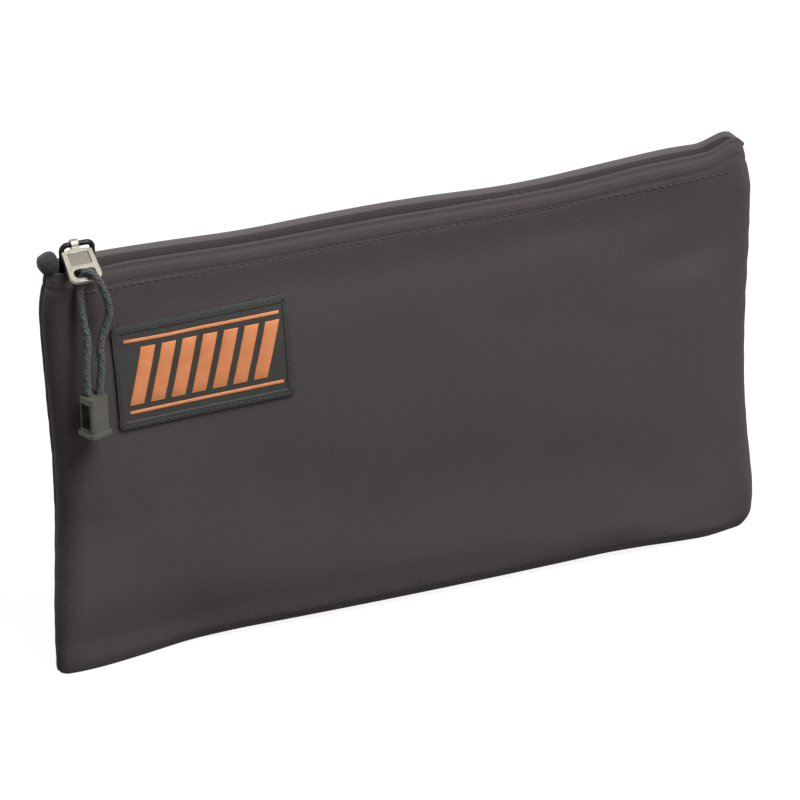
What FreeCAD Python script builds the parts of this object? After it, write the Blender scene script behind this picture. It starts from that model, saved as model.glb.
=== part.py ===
import FreeCAD, Part
import math
import os

# A flat zippered tool bag that stands on its foot. Millimetres.
# X runs along the zip, the front faces -Y, Z is up. The origin is the middle of the foot.

# Bag body
bag_width = 318.0
bag_height = 178.0
belly_depth = 24.0
belly_height = 70.0
foot_depth = 14.0
foot_fullness = 3.0
cloth = 1.0
side_draw = 2.5
bottom_corner_in = 5.0
bottom_corner_height = 9.0
top_slant_in = 3.5
top_slant_height = 17.0
top_slant_ease = 1.4
seam_height = 2.0
seam_gap = 0.3
edge_roundness = 0.78
section_space = 0.4
tool_over = 1.0

# Hems beside the zip
hem_height = 9.0
hem_rim = 1.3
shoulder_height = 7.0
shoulder_depth = 20.4

# Zip chain: two tapes with moulded teeth
tape_thickness = 0.7
tape_drop = 4.4
tape_margin = 5.0
tape_inner = 1.9
chain_pitch = 4.0
tooth_thickness = 3.0
tooth_base_outer = 3.6
tooth_base_inner = 1.15
tooth_base_width = 2.5
tooth_neck_width = 1.3
tooth_head_width = 2.1
tooth_head_reach = 1.0
mouth_end_wall = 1.5

# Stops and end tabs
stop_length = 1.4
stop_width = 2.6
bottom_stop_length = 3.5
stop_gap = 0.3
end_tab_cover = 2.5
end_tab_reach = 3.2
end_tab_rise = 5.0
end_tab_depth = 10.6
end_tab_clear = 0.6

# Slider
slider_length = 16.0
slider_nose_width = 11.2
slider_tail_width = 9.6
slider_lobe = 2.6
slider_bevel = 1.2
slider_wing = 1.2
slider_rail_gap = 1.4
slider_side_clear = 0.6
chain_clear = 0.25
diamond_length = 6.5
diamond_width = 3.5
diamond_nose_width = 2.1
diamond_shoulder = 2.6
crown_rod = 2.3
crown_span = 13.2
crown_bend = 2.4
crown_rise = 16.3

# Pull tab, hung on the crown and lying over the front hem
pull_lean = 60.0
pull_bar_reach = 18.5
pull_bar_width = 1.8
pull_thickness = 1.6
pull_width = 14.0
pull_shift = -1.3
pull_flare = 0.6
pull_neck_width = 3.0
pull_neck_length = 2.8
pull_shoulder = 3.8
pull_corner = 3.4
pull_slot_width = 9.4
pull_slot_depth = 4.6
pull_slot_corner = 2.0
pull_recess = 0.5
pull_recess_border = 1.9
knuckle_wall = 0.9
knuckle_clear = 0.1

# Pull cord and its end
cord_diameter = 3.2
cord_arc_share = 0.45
cord_end_width = 9.2
cord_end_depth = 8.4
cord_end_height = 17.5
cord_end_turn = 20.0
cord_end_wall = 1.3
cord_end_top = 3.0
cord_end_foot_lip = 0.8
cord_end_foot_height = 1.8
cord_knot_height = 8.0
cord_knot_clear = 0.3

# Label patch sewn to the front
patch_width = 77.0
patch_height = 45.5
patch_left = 27.5
patch_below_top = 23.2
patch_tilt = 1.6
patch_base = 0.8
patch_rim_height = 0.5
patch_rim_width = 3.0
patch_corner = 2.0

# Bound seam allowances inside
binding_width = 8.0
binding_thickness = 2.0
binding_clear = 4.0

# Places worked out from the sizes above
half_belly = belly_depth / 2
half_foot = foot_depth / 2
half_shoulder = shoulder_depth / 2
shoulder_z = bag_height - shoulder_height
mouth_half = slider_nose_width / 2 + slider_side_clear + tape_thickness
mouth_outer = mouth_half + hem_rim
mouth_end = bag_width / 2 - top_slant_in - mouth_end_wall
tape_z = bag_height - tape_drop
tape_top = tape_z + tape_thickness / 2
tape_bottom = tape_z - tape_thickness / 2
top_stop_x = -mouth_end + end_tab_cover
nose_x = top_stop_x + stop_length + stop_gap
tail_x = nose_x + slider_length
slider_x = nose_x + slider_length / 2
bottom_stop_x = mouth_end - end_tab_cover - bottom_stop_length
chain_half = tooth_thickness / 2 + chain_clear
wing_top = tape_z + chain_half + slider_wing
crown_z = tape_z + crown_rise
crown_radius = crown_rod / 2
knuckle_bore = crown_radius + knuckle_clear
knuckle_radius = knuckle_bore + knuckle_wall
bar_y = -pull_bar_reach * math.sin(math.radians(pull_lean))
bar_z = crown_z - pull_bar_reach * math.cos(math.radians(pull_lean))
cord_radius = cord_diameter / 2
reach_all = bag_width + bag_height

# The cord's route from the bar of the pull tab: up from the knot, over the bar and down again.
cord_route = [
    (-3.8, -2.7, -53.6),
    (-4.6, -2.6, -44.8),
    (-3.8, -1.8, -35.0),
    (-2.2, -0.5, -27.6),
    (-3.8, 1.6, -16.5),
    (-3.9, 3.2, -5.0),
    (-1.2, 3.2, 3.2),
    (1.2, -3.2, 3.2),
    (4.8, -3.2, -4.8),
    (7.4, -2.4, -15.5),
    (1.9, -1.8, -27.6),
    (2.5, -2.2, -36.8),
    (1.4, -2.6, -45.6),
    (0.1, -2.7, -53.6),
]
cord_end_x = slider_x + (cord_route[0][0] + cord_route[-1][0]) / 2
cord_end_y = bar_y + cord_route[0][1]
cord_drop = -cord_route[0][2]

os.makedirs("parts", exist_ok=True)


def vec(x, y, z):
    return FreeCAD.Vector(x, y, z)


def box(x0, x1, y0, y1, z0, z1):
    return Part.makeBox(x1 - x0, y1 - y0, z1 - z0, vec(x0, y0, z0))


def prism(points, way):
    return Part.Face(Part.makePolygon(points + [points[0]])).extrude(way)


def mirrored(shape):
    """The same shape on the back of the bag."""
    return shape.mirror(vec(0, 0, 0), vec(0, 1, 0))


def save(name, shape):
    shape.exportStep("parts/" + name + ".step")
    print(name, len(shape.Solids), "solids", round(shape.Volume, 1), "mm3", shape.isValid())


def half_depth(z):
    """Half of the bag's depth at a height: a full foot, a flat belly and rounded shoulders."""
    if z <= belly_height:
        short = max(0.0, 1 - z / belly_height)
        full = (1 - short**foot_fullness) ** (1 / foot_fullness)
        return half_foot + (half_belly - half_foot) * full
    if z <= shoulder_z:
        ease = (1 - math.cos(math.pi * (z - belly_height) / (shoulder_z - belly_height))) / 2
        return half_belly + (half_shoulder - half_belly) * ease
    over = min(1.0, (z - shoulder_z) / shoulder_height)
    return mouth_outer + (half_shoulder - mouth_outer) * math.sqrt(1 - over**2)


def half_width(z):
    """Half of the bag's width at a height: the side seams draw in between the corners."""
    top = bag_height - top_slant_height
    if z < bottom_corner_height:
        short = 1 - z / bottom_corner_height
        return bag_width / 2 - bottom_corner_in * (1 - math.sqrt(1 - short**2))
    if z > top:
        return bag_width / 2 - top_slant_in * ((z - top) / top_slant_height) ** top_slant_ease
    share = (z - bottom_corner_height) / (top - bottom_corner_height)
    return bag_width / 2 - side_draw * math.sin(math.pi * share) ** 2


def oval(z, out):
    """A section of the bag, grown by out: flat front and back arcs between two round side edges."""
    a = half_width(z) + out
    b = half_depth(z) + out
    r = edge_roundness * b
    rise = ((a - r) ** 2 - (b - r) ** 2) / (2 * (b - r))
    far = math.hypot(a - r, rise)
    x = (a - r) * (1 + r / far)
    y = r * rise / far
    corners = [vec(-x, -y, z), vec(x, -y, z), vec(x, y, z), vec(-x, y, z)]
    middles = [vec(0, -b, z), vec(a, 0, z), vec(0, b, z), vec(-a, 0, z)]
    arcs = [
        Part.Arc(corners[i], middles[i], corners[(i + 1) % 4]).toShape() for i in range(4)
    ]
    return Part.Wire(arcs)


def section_heights(low, high):
    """The heights of the sections between two levels, closer where the form turns fast."""
    lower = [belly_height * share for share in (0, 0.012, 0.04, 0.11, 0.26, 0.55, 1)]
    upper = [belly_height + (shoulder_z - belly_height) * share for share in (0.35, 0.7, 1)]
    shoulder = [shoulder_z + shoulder_height * share for share in (0.45, 0.75, 0.93, 1)]
    between = [z for z in lower + upper + shoulder if low + section_space < z < high - section_space]
    return [low] + between + [high]


def bag_form(low, high, out):
    return Part.makeLoft([oval(z, out) for z in section_heights(low, high)], True, False)


def bag_shell(form, hollow):
    """The hollow bag of one cloth thickness, with solid hems beside the open mouth."""
    low = bag_height - hem_height - cloth
    mouth = box(-mouth_end, mouth_end, -mouth_half, mouth_half, low, reach_all)
    return form.cut(hollow.fuse(mouth))


def back_side(gap):
    """The space of the back panel: behind the side seams and above the bottom seam."""
    low = seam_height + gap
    return box(-reach_all, reach_all, gap, reach_all, low, reach_all)


def front_panel(shell):
    return shell.cut(back_side(0))


def back_panel(shell):
    return shell.common(back_side(seam_gap))


def front_tape():
    """Half of the zip's tape, its outer margin turned down along the hem."""
    inner = -tape_inner
    outer = -mouth_half
    turned = outer + tape_thickness
    low = tape_top - tape_margin
    outline = [
        (inner, tape_bottom),
        (inner, tape_top),
        (outer, tape_top),
        (outer, low),
        (turned, low),
        (turned, tape_bottom),
    ]
    points = [vec(-mouth_end, y, z) for y, z in outline]
    return prism(points, vec(2 * mouth_end, 0, 0))


def tape_slab(x0, x1):
    """The room of both tapes where a tooth or a stop clamps their inner edges."""
    front = box(x0, x1, -mouth_half, -tape_inner, tape_bottom, tape_top)
    return front.fuse(mirrored(front))


def front_tooth():
    """One moulded tooth at x = 0: a base clamped on the tape, a neck and a wider head."""
    base = tooth_base_width / 2
    neck = tooth_neck_width / 2
    head = tooth_head_width / 2
    slope = (tooth_base_width - tooth_neck_width) / 2
    half_outline = [
        (base, -tooth_base_outer),
        (base, -tooth_base_inner - slope),
        (neck, -tooth_base_inner),
        (neck, 0.0),
        (head, tooth_head_reach / 4),
        (head, tooth_head_reach / 2),
        (head / 2, tooth_head_reach),
    ]
    outline = half_outline + [(-x, y) for x, y in reversed(half_outline)]
    low = tape_z - tooth_thickness / 2
    tooth = prism([vec(x, y, low) for x, y in outline], vec(0, 0, tooth_thickness))
    return tooth.cut(tape_slab(-chain_pitch, chain_pitch))


def teeth_row(tooth, shift):
    """A row of teeth from the slider's diamond to the bottom stop."""
    first = nose_x + diamond_length + tooth_base_width / 2 + chain_clear
    room = bottom_stop_x - first - tooth_base_width
    count = int(room / chain_pitch)
    row = []
    for i in range(count):
        copy = tooth.copy()
        copy.translate(vec(first + shift + i * chain_pitch, 0, 0))
        row.append(copy)
    return Part.makeCompound(row)


def front_top_stop():
    """A stop clamped on one tape, where the slider comes to rest."""
    outer = -tape_inner - stop_width / 2
    block = box(
        top_stop_x,
        top_stop_x + stop_length,
        outer,
        outer + stop_width,
        tape_z - tooth_thickness / 2,
        tape_z + tooth_thickness / 2,
    )
    return block.cut(tape_slab(top_stop_x - tool_over, top_stop_x + stop_length + tool_over))


def bottom_stop():
    """The box clamped over both tapes at the open end of the slider's travel."""
    x1 = bottom_stop_x + bottom_stop_length
    block = box(
        bottom_stop_x,
        x1,
        -tooth_base_outer,
        tooth_base_outer,
        tape_z - chain_half,
        tape_z + chain_half,
    )
    edges = [e for e in block.Edges if abs(e.tangentAt(e.FirstParameter).z) > 0.9]
    clamped = tape_slab(bottom_stop_x - tool_over, x1 + tool_over)
    return block.makeFillet(slider_wing / 2, edges).cut(clamped)


def end_tab(side):
    """The folded ear that covers a zip end and rises over the corner of the bag."""
    inner = mouth_end - end_tab_cover
    wall = mouth_end - stop_gap
    tip = mouth_end + end_tab_reach
    low = bag_height + end_tab_clear
    high = bag_height + end_tab_rise
    nose = (high - low) / 2
    start = vec(side * inner, 0, tape_top)
    lip = vec(side * inner, 0, tape_top + nose)
    crest = vec(side * (tip - nose), 0, high)
    front = vec(side * tip, 0, high - nose)
    under = vec(side * (tip - nose), 0, low)
    edges = [
        Part.makeLine(start, lip),
        Part.makeLine(lip, crest),
        Part.Arc(crest, front, under).toShape(),
        Part.makeLine(under, vec(side * wall, 0, low)),
        Part.makeLine(vec(side * wall, 0, low), vec(side * wall, 0, tape_top)),
        Part.makeLine(vec(side * wall, 0, tape_top), start),
    ]
    tab = Part.Face(Part.Wire(edges)).extrude(vec(0, end_tab_depth, 0))
    tab.translate(vec(0, -end_tab_depth / 2, 0))
    return tab


def slider_outline(z):
    """A wing of the slider from above: two round lobes at the nose, tapering to the tail."""
    nose = slider_nose_width / 2
    tail = slider_tail_width / 2
    lobe = slider_lobe
    bevel = slider_bevel
    half = [
        vec(nose_x, -nose + lobe, z),
        vec(nose_x + lobe * (1 - math.sqrt(0.5)), -nose + lobe * (1 - math.sqrt(0.5)), z),
        vec(nose_x + lobe, -nose, z),
        vec(tail_x - bevel, -tail, z),
        vec(tail_x, -tail + bevel, z),
    ]
    other = [vec(p.x, -p.y, z) for p in half]
    return Part.Face(
        Part.Wire(
            [
                Part.Arc(half[0], half[1], half[2]).toShape(),
                Part.makeLine(half[2], half[3]),
                Part.makeLine(half[3], half[4]),
                Part.makeLine(half[4], other[4]),
                Part.makeLine(other[4], other[3]),
                Part.makeLine(other[3], other[2]),
                Part.Arc(other[2], other[1], other[0]).toShape(),
                Part.makeLine(other[0], half[0]),
            ]
        )
    )


def slider_channel():
    """The path of the teeth through the slider: one row's width at the tail, two rows apart at the nose."""
    wide = slider_nose_width / 2 - slider_rail_gap / 2
    narrow = tooth_base_outer + chain_clear
    middle = nose_x + diamond_length + tooth_base_width
    half = [
        (nose_x - tool_over, wide),
        (nose_x + diamond_length / 2, wide),
        (middle, narrow),
        (tail_x + tool_over, narrow),
    ]
    outline = half + [(x, -y) for x, y in reversed(half)]
    low = tape_z - chain_half
    return prism([vec(x, y, low) for x, y in outline], vec(0, 0, 2 * chain_half))


def slider_diamond():
    """The wedge that joins the wings and parts the two rows of teeth."""
    half = diamond_width / 2
    nose = diamond_nose_width / 2
    outline = [
        (nose_x, -nose),
        (nose_x + diamond_shoulder, -half),
        (nose_x + diamond_length, 0),
        (nose_x + diamond_shoulder, half),
        (nose_x, nose),
    ]
    low = tape_z - chain_half
    return prism([vec(x, y, low) for x, y in outline], vec(0, 0, 2 * chain_half))


def crown_feet():
    return [slider_x - crown_span / 2, slider_x + crown_span / 2]


def slider_body():
    height = 2 * (chain_half + slider_wing)
    block = slider_outline(tape_z - height / 2).extrude(vec(0, 0, height))
    rail_gap = slider_rail_gap / 2
    sides = box(-reach_all, reach_all, -reach_all, reach_all, tape_z - rail_gap, tape_z + rail_gap)
    body = block.cut(slider_channel()).cut(sides).fuse(slider_diamond())
    for x in crown_feet():
        foot = Part.makeCylinder(crown_radius, slider_wing, vec(x, 0, wing_top - slider_wing))
        body = body.cut(foot)
    return body.removeSplitter()


def slider_crown():
    """A bent rod over the top wing: two feet set in the wing and a straight bar for the pull."""
    x0, x1 = crown_feet()
    low = wing_top - slider_wing
    bend = crown_bend
    inset = bend * (1 - math.sqrt(0.5))
    path = Part.Wire(
        [
            Part.makeLine(vec(x0, 0, low), vec(x0, 0, crown_z - bend)),
            Part.Arc(
                vec(x0, 0, crown_z - bend),
                vec(x0 + inset, 0, crown_z - inset),
                vec(x0 + bend, 0, crown_z),
            ).toShape(),
            Part.makeLine(vec(x0 + bend, 0, crown_z), vec(x1 - bend, 0, crown_z)),
            Part.Arc(
                vec(x1 - bend, 0, crown_z),
                vec(x1 - inset, 0, crown_z - inset),
                vec(x1, 0, crown_z - bend),
            ).toShape(),
            Part.makeLine(vec(x1, 0, crown_z - bend), vec(x1, 0, low)),
        ]
    )
    ring = Part.Wire(Part.makeCircle(crown_radius, vec(x0, 0, low), vec(0, 0, 1)))
    return path.makePipeShell([ring], True, False)


def pull_plate(outline, thickness, corner):
    """A plate hanging straight down from the crown's axis, with its lower corners rounded."""
    low = -thickness / 2
    plate = prism([vec(x, low, -u) for x, u in outline], vec(0, thickness, 0))
    deep = max(u for _, u in outline)
    edges = [
        e
        for e in plate.Edges
        if abs(e.tangentAt(e.FirstParameter).y) > 0.9 and e.CenterOfMass.z < 0.01 - deep
    ]
    return plate.makeFillet(corner, edges)


def pull_tab():
    """The pull: a knuckle round the crown's bar, a flaring plate and a slot for the cord."""
    neck = pull_neck_width / 2
    wide = pull_width / 2
    end = pull_bar_reach + pull_bar_width / 2
    slot_high = pull_bar_reach - pull_bar_width / 2 - pull_slot_depth
    outline = [
        (-neck, 0),
        (-neck, pull_neck_length),
        (-wide + pull_flare, pull_shoulder),
        (-wide, end),
        (wide, end),
        (wide - pull_flare, pull_shoulder),
        (neck, pull_neck_length),
        (neck, 0),
    ]
    tab = pull_plate(outline, pull_thickness, pull_corner)
    knuckle = Part.makeCylinder(knuckle_radius, pull_neck_width, vec(-neck, 0, 0), vec(1, 0, 0))
    bore = Part.makeCylinder(knuckle_bore, pull_neck_width, vec(-neck, 0, 0), vec(1, 0, 0))
    slot = box(
        -pull_slot_width / 2,
        pull_slot_width / 2,
        -pull_thickness,
        pull_thickness,
        -slot_high - pull_slot_depth,
        -slot_high,
    )
    edges = [e for e in slot.Edges if abs(e.tangentAt(e.FirstParameter).y) > 0.9]
    slot = slot.makeFillet(pull_slot_corner, edges)
    border = pull_flare + pull_recess_border
    face = -pull_thickness / 2
    recess = box(
        border - wide,
        wide - border,
        face,
        face + pull_recess,
        pull_recess_border - slot_high,
        -pull_shoulder - pull_recess_border / 2,
    )
    tab = tab.fuse(knuckle).cut(bore.fuse(slot).fuse(recess)).removeSplitter()
    tab.rotate(vec(0, 0, 0), vec(-1, 0, 0), pull_lean)
    tab.translate(vec(slider_x + pull_shift, 0, crown_z))
    return tab


def cord_path():
    """Straight runs joined by tangent arcs, each arc as large as its two runs allow."""
    points = [vec(slider_x + x, bar_y + y, bar_z + z) for x, y, z in cord_route]
    edges = []
    radii = []
    last = points[0]
    for before, at, after in zip(points, points[1:], points[2:]):
        back = (before - at).normalize()
        ahead = (after - at).normalize()
        turn = math.pi - back.getAngle(ahead)
        cut = cord_arc_share * min((before - at).Length, (after - at).Length)
        radius = cut / math.tan(turn / 2)
        radii.append(round(radius, 1))
        start = at + back * cut
        end = at + ahead * cut
        inward = (back + ahead).normalize()
        centre = at + inward * math.hypot(cut, radius)
        middle = centre - inward * radius
        edges.append(Part.makeLine(last, start))
        edges.append(Part.Arc(start, middle, end).toShape())
        last = end
    edges.append(Part.makeLine(last, points[-1]))
    print("cord radii", radii)
    return Part.Wire(edges)


def pull_cord():
    path = cord_path()
    first = path.Edges[0]
    start = first.valueAt(first.FirstParameter)
    ring = Part.makeCircle(cord_radius, start, first.tangentAt(first.FirstParameter))
    tube = path.makePipeShell([Part.Wire(ring)], True, False)
    section = math.pi * cord_radius**2 * path.Length
    print("cord length", round(path.Length, 1), "volume share", round(tube.Volume / section, 4))
    return tube


def cord_end_turned(shape):
    """The moulded end hangs a little turned about its upright axis."""
    shape.rotate(vec(cord_end_x, cord_end_y, 0), vec(0, 0, 1), cord_end_turn)
    return shape


def cord_end_block(low, high, grow):
    """A level block round the two ends of the cord."""
    half_x = cord_end_width / 2 + grow
    half_y = cord_end_depth / 2 + grow
    block = box(
        cord_end_x - half_x,
        cord_end_x + half_x,
        cord_end_y - half_y,
        cord_end_y + half_y,
        low,
        high,
    )
    edges = [e for e in block.Edges if abs(e.tangentAt(e.FirstParameter).z) > 0.9]
    return block.makeFillet(cord_end_wall, edges)


def cord_end(cord):
    """The moulded end: a block with a window through its sides, a foot lip and two cord holes."""
    ends = bar_z - cord_drop
    top = ends + cord_end_top
    low = top - cord_end_height
    foot = cord_end_block(low, low + cord_end_foot_height, cord_end_foot_lip)
    block = cord_end_block(low, top, 0).fuse(foot)
    half = cord_end_depth / 2 - cord_end_wall
    floor = low + cord_end_foot_height + cord_end_wall
    window = box(-reach_all, reach_all, cord_end_y - half, cord_end_y + half, floor, ends)
    return cord_end_turned(block.cut(window)).cut(cord).removeSplitter()


def cord_knot(cord):
    """The melted and knotted ends of the cord, behind the window of the moulded end."""
    ends = bar_z - cord_drop
    half_x = cord_end_width / 2 - cord_end_wall
    half_y = cord_end_depth / 2 - cord_end_wall - cord_knot_clear
    low = ends - cord_knot_height
    knot = box(
        cord_end_x - half_x,
        cord_end_x + half_x,
        cord_end_y - half_y,
        cord_end_y + half_y,
        low,
        ends,
    )
    lower = [e for e in knot.Edges if e.CenterOfMass.z < low + 0.01]
    return cord_end_turned(knot.makeFillet(cord_end_wall, lower)).cut(cord)


def patch_prism(inset, corner):
    """The upright prism of the label's outline, drawn in by inset."""
    x0 = -bag_width / 2 + patch_left + inset
    x1 = x0 + patch_width - 2 * inset
    z1 = bag_height - patch_below_top - inset
    z0 = z1 - patch_height + 2 * inset
    block = box(x0, x1, -belly_depth, 0, z0, z1)
    edges = [e for e in block.Edges if abs(e.tangentAt(e.FirstParameter).y) > 0.9]
    rounded = block.makeFillet(corner, edges)
    rounded.rotate(block.BoundBox.Center, vec(0, -1, 0), patch_tilt)
    return rounded


def label_patch(form):
    """A moulded label that follows the front, with a raised border round a lower field."""
    rim = bag_form(0, bag_height, patch_base + patch_rim_height)
    base = bag_form(0, bag_height, patch_base)
    label = patch_prism(0, patch_corner).common(rim).cut(form)
    return label.cut(patch_prism(patch_rim_width, patch_corner / 2).cut(base))


def seam_bindings(hollow):
    """Bound seam allowances along the inside of both side seams, on the front panel."""
    low = cloth + binding_thickness + binding_clear
    high = bag_height - hem_height - binding_clear
    strip = box(-reach_all, reach_all, -binding_thickness - seam_gap, -seam_gap, low, high)
    kept = hollow.common(strip)
    inner = half_width(belly_height) - cloth - binding_width
    middle = box(-inner, inner, -reach_all, reach_all, 0, reach_all)
    sides = kept.cut(middle).Solids
    return sorted(sides, key=lambda s: s.CenterOfMass.x)


def bottom_binding():
    """The bound allowance of the bottom seam, lying on the foot."""
    half = half_width(0) - binding_width - binding_clear
    back = half_foot - binding_clear
    return box(-half, half, back - binding_width, back, cloth, cloth + binding_thickness)


def main():
    form = bag_form(0, bag_height, 0)
    hollow = bag_form(cloth, bag_height - hem_height, -cloth)
    shell = bag_shell(form, hollow)
    save("front_panel", front_panel(shell))
    save("back_panel", back_panel(shell))
    left_binding, right_binding = seam_bindings(hollow)
    save("seam_binding_left", left_binding)
    save("seam_binding_right", right_binding)
    save("seam_binding_bottom", bottom_binding())
    save("label_patch", label_patch(form))
    tape = front_tape()
    save("front_tape", tape)
    save("back_tape", mirrored(tape))
    tooth = front_tooth()
    save("front_teeth", teeth_row(tooth, 0))
    save("back_teeth", teeth_row(mirrored(tooth), chain_pitch / 2))
    stop = front_top_stop()
    save("front_top_stop", stop)
    save("back_top_stop", mirrored(stop))
    save("bottom_stop", bottom_stop())
    save("end_tab_left", end_tab(-1))
    save("end_tab_right", end_tab(1))
    save("slider_body", slider_body())
    save("slider_crown", slider_crown())
    save("pull_tab", pull_tab())
    cord = pull_cord()
    save("pull_cord", cord)
    save("cord_end", cord_end(cord))
    save("cord_knot", cord_knot(cord))
    travel = bottom_stop_x - stop_gap - tail_x
    print("slider travel", round(travel, 2))
    print("mouth axis", round(half_depth(seam_height), 3), seam_height)
    print("pull axis", round(slider_x, 3), 0, round(crown_z, 3))
    print("cord axis", round(slider_x, 3), round(bar_y, 3), round(bar_z, 3))


main()
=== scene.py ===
import bpy
import math
from mathutils import Matrix, Vector, noise
from mathutils.bvhtree import BVHTree


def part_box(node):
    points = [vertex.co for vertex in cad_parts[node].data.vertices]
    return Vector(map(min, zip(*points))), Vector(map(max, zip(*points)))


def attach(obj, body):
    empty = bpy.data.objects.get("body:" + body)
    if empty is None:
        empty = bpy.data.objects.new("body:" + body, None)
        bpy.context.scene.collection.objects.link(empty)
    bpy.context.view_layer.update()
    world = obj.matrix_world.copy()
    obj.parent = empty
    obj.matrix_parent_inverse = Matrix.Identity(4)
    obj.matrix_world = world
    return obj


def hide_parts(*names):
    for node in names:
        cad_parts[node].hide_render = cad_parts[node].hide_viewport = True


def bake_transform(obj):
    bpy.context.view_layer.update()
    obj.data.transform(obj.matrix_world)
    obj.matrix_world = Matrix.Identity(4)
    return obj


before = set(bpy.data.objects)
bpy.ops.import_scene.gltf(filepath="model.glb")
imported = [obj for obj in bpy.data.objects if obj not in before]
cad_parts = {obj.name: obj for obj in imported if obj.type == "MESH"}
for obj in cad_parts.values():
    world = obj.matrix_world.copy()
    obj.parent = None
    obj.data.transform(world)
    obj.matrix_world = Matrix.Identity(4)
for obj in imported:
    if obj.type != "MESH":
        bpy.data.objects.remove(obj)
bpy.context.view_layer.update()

mm = 0.001
print("frame loaded:", len(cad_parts), "nodes")


# Small helpers

def toLinear(hexValue):
    parts = [int(hexValue[i:i + 2], 16) / 255 for i in (1, 3, 5)]
    return [c / 12.92 if c <= 0.04045 else ((c + 0.055) / 1.055) ** 2.4 for c in parts] + [1.0]


def addNode(tree, kind, inputs=None, **settings):
    node = tree.nodes.new(kind)
    for name, value in settings.items():
        setattr(node, name, value)
    for socket, value in (inputs or {}).items():
        if isinstance(value, bpy.types.NodeSocket):
            tree.links.new(value, node.inputs[socket])
        else:
            node.inputs[socket].default_value = value
    return node


def startFinish(name, **values):
    material = bpy.data.materials.new(name)
    material.use_nodes = True
    tree = material.node_tree
    shader = tree.nodes["Principled BSDF"]
    for socket, value in values.items():
        shader.inputs[socket.replace("_", " ")].default_value = value
    return material, tree, shader


def smooth(t):
    t = min(1.0, max(0.0, t))
    return t * t * (3 - 2 * t)


def deselectAll():
    if bpy.context.object and bpy.context.object.mode != "OBJECT":
        bpy.ops.object.mode_set(mode="OBJECT")
    bpy.ops.object.select_all(action="DESELECT")


def chooseOnly(piece):
    deselectAll()
    piece.select_set(True)
    bpy.context.view_layer.objects.active = piece


def nameNew(name):
    piece = bpy.context.object
    piece.name = name
    piece.data.name = name
    return piece


def addObject(name, data):
    piece = bpy.data.objects.new(name, data)
    bpy.context.scene.collection.objects.link(piece)
    return piece


def newBox(name, middle, size):
    # a plain box, given in millimetres
    deselectAll()
    bpy.ops.mesh.primitive_cube_add(size=1, location=[c * mm for c in middle])
    piece = nameNew(name)
    piece.scale = [c * mm for c in size]
    chooseOnly(piece)
    bpy.ops.object.transform_apply(location=True, rotation=True, scale=True)
    return piece


def shadeSmooth(piece):
    chooseOnly(piece)
    bpy.ops.object.shade_smooth()


def applyModifier(piece, kind, **settings):
    chooseOnly(piece)
    modifier = piece.modifiers.new(kind.lower(), kind)
    for name, value in settings.items():
        setattr(modifier, name, value)
    bpy.ops.object.modifier_apply(modifier=modifier.name)


def leaveEdit():
    bpy.ops.object.mode_set(mode="OBJECT")


def editAll(piece):
    chooseOnly(piece)
    bpy.ops.object.mode_set(mode="EDIT")
    bpy.ops.mesh.select_all(action="SELECT")


def chooseNone(piece, kind):
    chooseOnly(piece)
    bpy.ops.object.mode_set(mode="EDIT")
    bpy.ops.mesh.select_mode(type=kind)
    bpy.ops.mesh.select_all(action="DESELECT")
    leaveEdit()


def pickEdges(piece, test):
    # edit mode with only the edges chosen whose two ends pass the test
    chooseNone(piece, "EDGE")
    for edge in piece.data.edges:
        edge.select = test(*[piece.data.vertices[i].co for i in edge.vertices])
    bpy.ops.object.mode_set(mode="EDIT")


def pickFaces(piece, test):
    chooseNone(piece, "FACE")
    for face in piece.data.polygons:
        face.select = test(face.center, face.normal)
    bpy.ops.object.mode_set(mode="EDIT")


def sliceAcross(piece, middle, length, step, axis):
    # cuts all faces at even planes across X (0) or Z (2), so that the piece can follow the cloth
    count = max(1, round(length / step))
    way = [0, 0, 0]
    way[axis] = 1
    for i in range(1, count):
        place = (middle + length * (i / count - 0.5)) * mm
        editAll(piece)
        bpy.ops.mesh.bisect(plane_co=[place * w for w in way], plane_no=way)
        leaveEdit()


def layUv(mesh, uvs):
    layer = mesh.uv_layers.active or mesh.uv_layers.new(name="UVMap")
    for loop in mesh.loops:
        layer.data[loop.index].uv = uvs[loop.vertex_index]


def newPiece(name, spots, faces, uvs):
    mesh = bpy.data.meshes.new(name)
    mesh.from_pydata(spots, [], faces)
    layUv(mesh, uvs)
    piece = addObject(name, mesh)
    shadeSmooth(piece)
    return piece


def newGrid(name, columns, rows, spots):
    deselectAll()
    bpy.ops.mesh.primitive_grid_add(x_subdivisions=columns - 1, y_subdivisions=rows - 1, size=1)
    sheet = nameNew(name)
    sheet.data.vertices.foreach_set("co", [c for spot in spots for c in spot])
    return sheet


def tubeFaces(rings, around):
    # the sides of a tube of rings, and its two ends
    faces = []
    for i in range(rings - 1):
        for j in range(around):
            k = (j + 1) % around
            faces.append((i * around + j, i * around + k, (i + 1) * around + k, (i + 1) * around + j))
    faces.append(tuple(reversed(range(around))))
    faces.append(tuple(range((rings - 1) * around, rings * around)))
    return faces


def wear(piece, material):
    piece.data.materials.clear()
    piece.data.materials.append(material)


def smoothByAngle(piece, degrees):
    chooseOnly(piece)
    bpy.ops.object.shade_smooth_by_angle(angle=math.radians(degrees))


# Camera and light

photoView = {
    "azimuth": -21.1, "elevation": 26.1, "roll": 1.3, "distance": 2.54, "aim": (-2.3, 0, 91.1), "lens": 271.1,
}


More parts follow.
